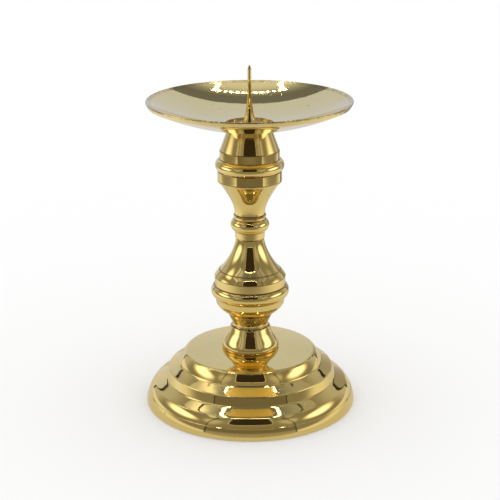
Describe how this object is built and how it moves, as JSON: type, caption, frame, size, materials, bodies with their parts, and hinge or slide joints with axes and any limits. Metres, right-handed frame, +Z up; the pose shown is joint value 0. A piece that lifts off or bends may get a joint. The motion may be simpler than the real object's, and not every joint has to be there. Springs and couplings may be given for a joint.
{
  "type": "pricket candle stand",
  "caption": "Turned brass pricket candle stand: stepped hollow foot, baluster stem with knops, shallow drip pan and an upright spike that holds a candle.",
  "frame": {"origin": "centre of the base's underside, on the floor plane", "axes": "+Z up along the axis that every piece is turned about; X and Y are any two level directions"},
  "size_m": [0.1001, 0.1, 0.1617],
  "materials": {
    "brass": "polished, lightly worn",
    "brass_pan": "polished, fine turning marks",
    "brass_base": "polished outside, as cast inside",
    "brass_spike": "drawn and turned",
    "steel": "zinc plated"
  },
  "bodies": {
    "stand": {"base": "brass_base", "bell": "brass", "lower_knop": "brass", "lower_stem": "brass", "knop": "brass", "upper_stem": "brass", "tie_rod": "steel", "washer": "steel", "nut": "steel"},
    "pan": {"drip_pan": "brass_pan"},
    "spike": {"spike": "brass_spike"}
  },
  "joints": [
    {"name": "pan_lift", "type": "slide", "parent": "stand", "child": "pan", "axis": [0, 0, 1], "range_m": [0, 0.0084]},
    {"name": "spike_turn", "type": "hinge", "parent": "pan", "child": "spike", "pos_m": [0, 0, 0.13445], "axis": [0, 0, 1], "range_deg": [0, 4320]}
  ],
  "couplings": [
    {"joint": "spike_turn", "follows": "pan_lift", "rad_per_m": 8976}
  ]
}
